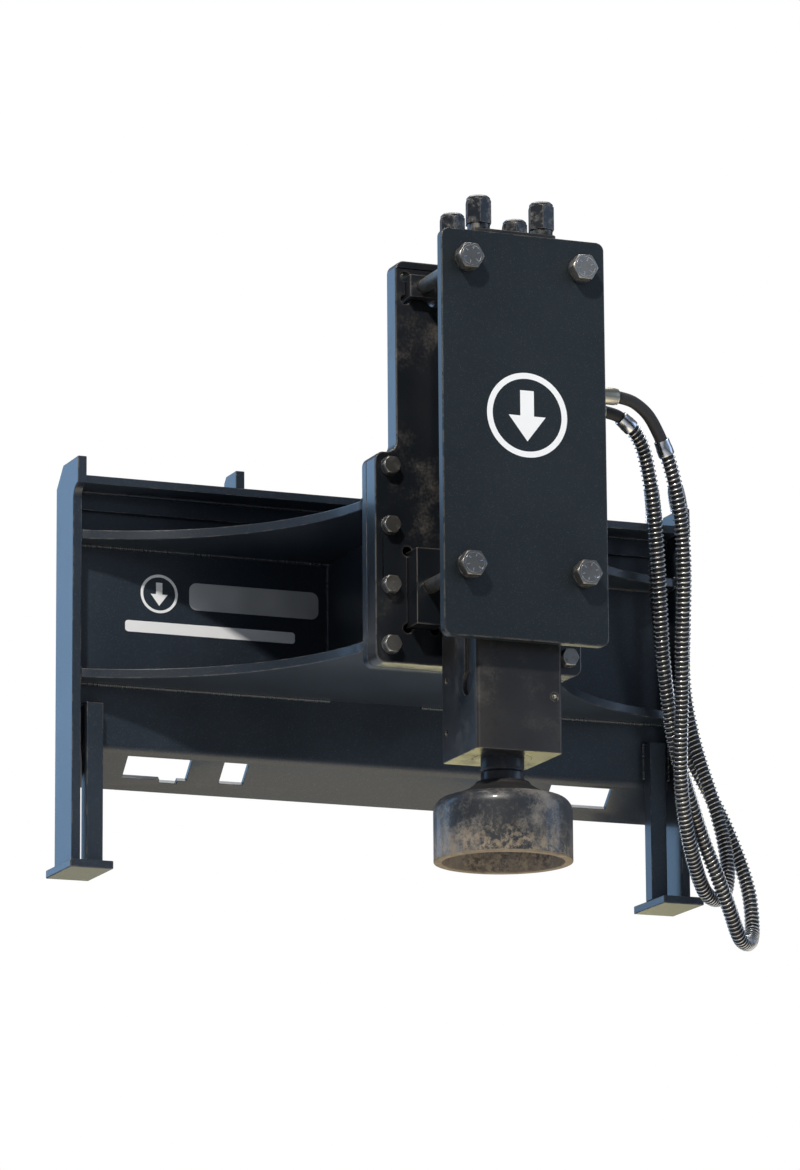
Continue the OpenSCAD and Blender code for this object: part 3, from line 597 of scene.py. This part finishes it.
# a wire wound round a line
def makeGuardTree():
    tree, gin, gout = geometryTree("springGuard", {
        "Pitch": 0.0084, "Coil Radius": 0.012, "Wire Radius": 0.0014, "Steps": 14,
        "Material": None})
    line = put(tree, "GeometryNodeMeshToCurve", i0=gin["Geometry"])
    step = maths(tree, "DIVIDE", gin["Pitch"], gin["Steps"])
    fine = put(tree, "GeometryNodeResampleCurve", {"mode": "LENGTH"}, Curve=line.outputs[0],
               Length=step)
    index = put(tree, "GeometryNodeInputIndex").outputs[0]
    angle = maths(tree, "MULTIPLY", maths(tree, "DIVIDE", index, gin["Steps"]), 2 * math.pi)
    normal = put(tree, "GeometryNodeInputNormal").outputs[0]
    tangent = put(tree, "GeometryNodeInputTangent").outputs[0]
    swung = put(tree, "ShaderNodeVectorRotate", {"rotation_type": "AXIS_ANGLE"}, Vector=normal,
                Axis=tangent, Angle=angle)
    out = put(tree, "ShaderNodeVectorMath", {"operation": "SCALE"}, i0=swung.outputs[0],
              Scale=gin["Coil Radius"])
    wound = put(tree, "GeometryNodeSetPosition", Geometry=fine.outputs[0], Offset=out.outputs[0])
    wire = put(tree, "GeometryNodeCurvePrimitiveCircle", Resolution=6, Radius=gin["Wire Radius"])
    tube = put(tree, "GeometryNodeCurveToMesh", Curve=wound.outputs[0],
               Profile_Curve=wire.outputs[0], Fill_Caps=True)
    whole = put(tree, "GeometryNodeRealizeInstances", Geometry=tube.outputs[0])
    done = put(tree, "GeometryNodeSetMaterial", Geometry=whole.outputs[0],
               Material=gin["Material"])
    tree.links.new(done.outputs[0], gout.inputs[0])
    return tree


# a turned sleeve round an axis from a list of (distance along, radius)
def turned(name, start, along, profile, sides=28):
    along = along.normalized()
    side = along.orthogonal().normalized()
    other = along.cross(side)
    bm = bmesh.new()
    rings = []
    for far, r in profile:
        around = [2 * math.pi * k / sides for k in range(sides)]
        rings.append([bm.verts.new(start + along * far + side * (r * math.cos(a))
                                   + other * (r * math.sin(a))) for a in around])
    for a, b in zip(rings, rings[1:]):
        for k in range(sides):
            n = (k + 1) % sides
            bm.faces.new((a[k], a[n], b[n], b[k]))
    bm.faces.new(list(reversed(rings[0])))
    bm.faces.new(rings[-1])
    bmesh.ops.recalc_face_normals(bm, faces=bm.faces)
    mesh = bpy.data.meshes.new(name)
    bm.to_mesh(mesh)
    bm.free()
    mesh.shade_smooth()
    mesh.set_sharp_from_angle(angle=math.radians(38))
    return mesh


def joined(name, meshes):
    bm = bmesh.new()
    for m in meshes:
        bm.from_mesh(m)
    mesh = bpy.data.meshes.new(name)
    bm.to_mesh(mesh)
    bm.free()
    return mesh


def crimped(length, r, rings=4):
    rows = [(0, r * 0.82), (0.0012, r * 0.9)]
    body = length - 0.010
    for k in range(rings):
        at = 0.004 + body * k / rings
        rows += [(at, r * 0.93), (at + 0.0014, r), (at + body / rings - 0.0022, r),
                 (at + body / rings - 0.0008, r * 0.93)]
    rows += [(length - 0.004, r * 0.97), (length - 0.0008, r * 0.97), (length, r * 0.86)]
    return rows


guardTree = makeGuardTree()
frameBody = bodyOf["hose_pressure"]
ferruleNodes = {"Pressure": (), "Return": ("end_ferrules",)}
for label, hose in hoses.items():
    line = smoothLine(hose["points"])
    whole = lineLength(line)
    curve = bpy.data.curves.new("hose" + label, "CURVE")
    curve.dimensions, curve.bevel_depth, curve.bevel_resolution = "3D", hose["radius"], 5
    curve.use_fill_caps = True
    spline = curve.splines.new("POLY")
    spline.points.add(len(line) - 1)
    for point, p in zip(spline.points, line):
        point.co = (*p, 1)
    spline.use_smooth = True
    tube = link(bpy.data.objects.new("hose" + label, curve))
    curve.materials.append(finish["rubber"])
    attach(tube, frameBody)
    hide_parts(hose["node"])

    first = hose["guardFrom"]
    collarLine = cutLine(line, first, first + 0.028)
    collar = turned("collar" + label, collarLine[0], collarLine[-1] - collarLine[0],
                    [(0, 0.0110), (0.0008, 0.0132), (0.012, 0.0134), (0.014, 0.0140),
                     (0.026, 0.0140), (0.0272, 0.0136), (0.028, 0.0124)])
    collar = piece("collar" + label, collar, "brightSteel", frameBody)

    run = cutLine(line, first + 0.026, whole - guard["endGap"])
    wire = applyTree(edgeLine("guard" + label, [run]), guardTree, {
        "Pitch": guard["pitch"], "Coil Radius": guard["coil"], "Wire Radius": guard["wire"],
        "Steps": guard["steps"], "Material": finish["guardSteel"]})
    wire.shade_smooth()
    wire = piece("springGuard" + label, wire, "guardSteel", frameBody)

    end = line[-1]
    low = Vector((0, 0, -1))
    ferrule = turned("endFerrule" + label, end + low * 0.0002, low, crimped(0.0416, 0.0145))
    ferrule = piece("endFerrule" + label, ferrule, "zinc", frameBody, ferruleNodes[label])
    print("hose", label, round(whole, 3), "m,", len(wire.data.polygons), "guard faces")


# smooth ferrules where the hoses leave the breaker, each on its own nipple
ports = {"from": 0.150, "to": 0.205, "nippleFrom": 0.122, "nippleLength": 0.03,
         "nippleRadius": 0.008, "places": ((-0.601, 0.298), (-0.545, 0.286)), "sharpFrom": 38}
far = ports["to"] - ports["from"]
ferruleProfile = [(0, 0.0120), (0.001, 0.0138), (0.012, 0.0138), (0.014, 0.0145),
                  (far - 0.006, 0.0145), (far - 0.004, 0.0138), (far - 0.0008, 0.0136),
                  (far, 0.0116)]
nippleProfile = [(0, ports["nippleRadius"]), (ports["nippleLength"], ports["nippleRadius"])]
along = Vector((1, 0, 0))
ferrules = []
for y, z in ports["places"]:
    ferrules.append(turned("ferrule", Vector((ports["from"], y, z)), along, ferruleProfile))
    ferrules.append(turned("nipple", Vector((ports["nippleFrom"], y, z)), along, nippleProfile))
mesh = joined("hoseFerrules", ferrules)
mesh.shade_smooth()
mesh.set_sharp_from_angle(angle=math.radians(ports["sharpFrom"]))
piece("hoseFerrules", mesh, "zinc", frameBody, ["hose_ferrules"])


# weld beads

weld = {"pitch": 0.0036, "radius": 0.0042, "seed": 7}


def makeWeldTree():
    tree, gin, gout = geometryTree("weldBead", {
        "Pitch": 0.0036, "Radius": 0.004, "Seed": 7, "Material": None})
    line = put(tree, "GeometryNodeMeshToCurve", i0=gin["Geometry"])
    fine = put(tree, "GeometryNodeResampleCurve", {"mode": "LENGTH"}, Curve=line.outputs[0],
               Length=gin["Pitch"])
    ball = put(tree, "GeometryNodeMeshUVSphere", Segments=8, Rings=6, Radius=gin["Radius"])
    scale = put(tree, "FunctionNodeRandomValue", {"data_type": "FLOAT"}, Seed=gin["Seed"],
                i2=0.86, i3=1.14)
    spread = put(tree, "GeometryNodeInstanceOnPoints", Points=fine.outputs[0],
                 Instance=ball.outputs[0], Scale=scale.outputs[1])
    whole = put(tree, "GeometryNodeRealizeInstances", Geometry=spread.outputs[0])
    done = put(tree, "GeometryNodeSetMaterial", Geometry=whole.outputs[0],
               Material=gin["Material"])
    tree.links.new(done.outputs[0], gout.inputs[0])
    return tree


# stations of the seams, in metres. Every seam but the top one is made on both sides
at = {"plateFront": -0.010, "webX": 0.088, "sideFront": -0.052, "sideTop": 0.170,
      "cradleBack": -0.42, "cradleHalf": 0.184, "cradleMiddle": 0.04, "flangeTop": -0.228,
      "legX": 0.510, "legEnd": 0.540, "legTop": -0.168, "footTop": -0.450,
      "lugSides": (0.262, 0.278), "lugFoot": 0.218, "barEnd": 0.56, "barFront": -0.0205,
      "barFoot": 0.2035, "sink": 0.001, "footFront": -0.059, "footSide": (-0.040, 0.028),
      "footReach": 0.014, "lugRun": (-0.062, -0.003)}
inner = -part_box("main_plate")[0].x
upperRib = [corner.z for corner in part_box("upper_rib")]
lowerRib = [corner.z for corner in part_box("lower_rib")]


def seam(a, b):
    return [Vector(a), Vector(b)]


seams = []
plate, sunk = at["plateFront"], at["plateFront"] - at["sink"]
for side in (-1, 1):
    web, end, flank = side * at["webX"], side * inner, side * (inner - at["sink"])
    back = at["cradleBack"]
    for z in (*upperRib, *lowerRib):
        seams.append(seam((web, sunk, z), (end, sunk, z)))
        seams.append(seam((flank, plate, z), (flank, at["sideFront"], z)))
    seams.append(seam((web, plate, lowerRib[1]), (web, plate, upperRib[0])))
    seams.append(seam((end, plate, at["flangeTop"]), (end, plate, at["sideTop"])))
    seams.append(seam((web, back, lowerRib[1]), (web, back, upperRib[0])))
    for z in (upperRib[1], lowerRib[0]):
        seams.append(seam((side * at["cradleHalf"], back, z), (side * at["cradleMiddle"], back, z)))
    leg = side * at["legX"]
    seams.append(seam((leg, sunk, at["legTop"]), (side * at["legEnd"], sunk, at["legTop"])))
    seams.append(seam((leg, sunk, at["legTop"] - at["sink"]), (leg, sunk, at["flangeTop"])))
    seams.append(seam((end, at["footFront"], at["footTop"]),
                      (side * (inner + at["footReach"]), at["footFront"], at["footTop"])))
    seams.append(seam(*((end, y, at["footTop"]) for y in at["footSide"])))
    for x in at["lugSides"]:
        seams.append(seam(*((side * x, y, at["lugFoot"]) for y in at["lugRun"])))
seams.append(seam((-at["barEnd"], at["barFront"], at["barFoot"]),
                  (at["barEnd"], at["barFront"], at["barFoot"])))
beads = applyTree(edgeLine("seams", seams), makeWeldTree(), {
    "Pitch": weld["pitch"], "Radius": weld["radius"], "Seed": weld["seed"],
    "Material": finish["weldPaint"]})
beads.shade_smooth()
piece("weldBeads", beads, "weldPaint", frameBody)
print("weld beads,", len(beads.polygons), "faces")


# painted signs: a plain ring with an arrow, and plain bars

signDepth = 0.0003


def raised(bm, outline, y):
    front = [bm.verts.new((x, y - signDepth, z)) for x, z in outline]
    back = [bm.verts.new((x, y, z)) for x, z in outline]
    bm.faces.new(front)
    bm.faces.new(list(reversed(back)))
    for k in range(len(front)):
        n = (k + 1) % len(front)
        bm.faces.new((front[k], back[k], back[n], front[n]))


def ringArrow(bm, x, z, r, y):
    steps, band = 64, 0.14
    around = [(math.cos(2 * math.pi * k / steps), math.sin(2 * math.pi * k / steps))
              for k in range(steps)]
    for k in range(steps):
        a, b = around[k], around[(k + 1) % steps]
        raised(bm, [(x + r * a[0], z + r * a[1]), (x + r * b[0], z + r * b[1]),
                    (x + r * (1 - band) * b[0], z + r * (1 - band) * b[1]),
                    (x + r * (1 - band) * a[0], z + r * (1 - band) * a[1])], y)
    arrow = [(-0.17, 0.58), (-0.17, -0.02), (-0.46, -0.02), (0.0, -0.62), (0.46, -0.02),
             (0.17, -0.02), (0.17, 0.58)]
    raised(bm, [(x + r * u, z + r * v) for u, v in arrow], y)


def bar(bm, x0, x1, z0, z1, y):
    r = (z1 - z0) * 0.28
    corners = ((x1 - r, z1 - r, 0), (x0 + r, z1 - r, 90), (x0 + r, z0 + r, 180),
               (x1 - r, z0 + r, 270))
    turns = [(cx, cz, math.radians(a0 + 15 * k)) for cx, cz, a0 in corners for k in range(7)]
    raised(bm, [(cx + r * math.cos(a), cz + r * math.sin(a)) for cx, cz, a in turns], y)


def sign(name, material, draw):
    bm = bmesh.new()
    draw(bm)
    bmesh.ops.remove_doubles(bm, verts=bm.verts, dist=1e-6)
    bmesh.ops.recalc_face_normals(bm, faces=bm.faces)
    mesh = bpy.data.meshes.new(name)
    bm.to_mesh(mesh)
    bm.free()
    return piece(name, mesh, material, frameBody)


sign("clampSign", "signWhite", lambda bm: ringArrow(bm, 0.004, 0.229, 0.072, -0.6841))
sign("frameSign", "signWhite", lambda bm: (ringArrow(bm, -0.400, 0.036, 0.034, -0.0101),
                                           bar(bm, -0.462, -0.150, -0.034, -0.014, -0.0101)))
sign("frameSignBar", "signGrey", lambda bm: (bar(bm, -0.345, -0.106, 0.012, 0.060, -0.0101),))
print("signs made")


# floor, light and surroundings

stageLook = {"floorZ": -2.45, "floorSize": 90, "floorColour": (0.72, 0.73, 0.74),
             "glowColour": (0.93, 0.95, 1.0), "glow": 0.5}


def makeFloor(look):
    half = look["floorSize"] / 2
    mesh = bpy.data.meshes.new("floor")
    corners = ((-half, -half), (half, -half), (half, half), (-half, half))
    mesh.from_pydata([(x, y, look["floorZ"]) for x, y in corners], [], [(0, 1, 2, 3)])
    mat = bpy.data.materials.new("floorPale")
    mat.use_nodes = True
    tree = mat.node_tree
    bsdf = tree.nodes["Principled BSDF"]
    bsdf.inputs["Base Color"].default_value = (*look["floorColour"], 1)
    bsdf.inputs["Roughness"].default_value = 0.9
    glow = tree.nodes.new("ShaderNodeEmission")
    glow.inputs["Color"].default_value = (*look["glowColour"], 1)
    path = tree.nodes.new("ShaderNodeLightPath")
    tree.links.new(maths(tree, "MULTIPLY", path.outputs["Is Camera Ray"], look["glow"]),
                   glow.inputs["Strength"])
    lit = tree.nodes.new("ShaderNodeAddShader")
    tree.links.new(bsdf.outputs[0], lit.inputs[0])
    tree.links.new(glow.outputs[0], lit.inputs[1])
    clear = tree.nodes.new("ShaderNodeBsdfTransparent")
    back = tree.nodes.new("ShaderNodeNewGeometry")
    mix = tree.nodes.new("ShaderNodeMixShader")
    tree.links.new(back.outputs["Backfacing"], mix.inputs[0])
    tree.links.new(lit.outputs[0], mix.inputs[1])
    tree.links.new(clear.outputs[0], mix.inputs[2])
    tree.links.new(mix.outputs[0], tree.nodes["Material Output"].inputs["Surface"])
    mesh.materials.append(mat)
    floor = link(bpy.data.objects.new("floor", mesh))


lamps = {
    "sun": {"place": (-3.2, -4.6, 4.6), "at": (0, -0.3, 0), "size": 0.4, "power": 470,
            "colour": (1.0, 0.96, 0.9)},
    "sky": {"place": (-4.4, 5.4, 2.6), "at": (0, -0.3, 0.1), "size": 6.0, "power": 240,
            "colour": (0.34, 0.62, 1.0)},
    "field": {"place": (3.0, 7.4, -1.9), "at": (0, -0.3, -0.2), "size": 5.0, "power": 50,
              "colour": (1.0, 0.86, 0.3)},
    "meadow": {"place": (3.15, 7.4, -2.25), "at": (0, -0.5, -0.35), "size": 0.7, "power": 22,
               "colour": (1.0, 0.9, 0.4)},
    "ground": {"place": (0.3, -0.9, -2.3), "at": (0, -0.4, 0), "size": 2.6, "power": 30,
               "colour": (0.9, 0.72, 0.4)},
    "front": {"place": (3.2, -6.5, 2.0), "at": (0, -0.4, 0.2), "size": 4.5, "power": 16,
              "colour": (0.42, 0.66, 1.0)},
    "right": {"place": (6.5, -3.2, 1.9), "at": (0, -0.2, 0), "size": 4.0, "power": 90,
              "colour": (0.5, 0.7, 1.0)},
    "over": {"place": (0.5, 1.2, 4.6), "at": (0, -0.3, 0), "size": 3.0, "power": 170,
             "colour": (0.95, 0.98, 1.0)},
}


def placeLamps():
    for name, lamp in lamps.items():
        data = bpy.data.lights.new(name, "AREA")
        data.size, data.energy, data.color = lamp["size"], lamp["power"], lamp["colour"]
        obj = link(bpy.data.objects.new(name, data))
        ahead = Vector(lamp["at"]) - Vector(lamp["place"])
        turn = ahead.to_track_quat("-Z", "Y").to_matrix().to_4x4()
        obj.matrix_world = Matrix.Translation(lamp["place"]) @ turn
    world = bpy.data.worlds.new("surroundings")
    world.use_nodes = True
    tree = world.node_tree
    tree.nodes["Background"].inputs[0].default_value = (0.8, 0.87, 1.0, 1)
    tree.nodes["Background"].inputs[1].default_value = 0.2
    seen = tree.nodes.new("ShaderNodeBackground")
    seen.inputs[0].default_value = (1, 1, 1, 1)
    seen.inputs[1].default_value = 1.0
    path = tree.nodes.new("ShaderNodeLightPath")
    mix = tree.nodes.new("ShaderNodeMixShader")
    tree.links.new(path.outputs["Is Camera Ray"], mix.inputs[0])
    tree.links.new(tree.nodes["Background"].outputs[0], mix.inputs[1])
    tree.links.new(seen.outputs[0], mix.inputs[2])
    tree.links.new(mix.outputs[0], tree.nodes["World Output"].inputs[0])
    bpy.context.scene.world = world
    bpy.context.scene.view_settings.view_transform = "Standard"


makeFloor(stageLook)
placeLamps()
print("stage set")
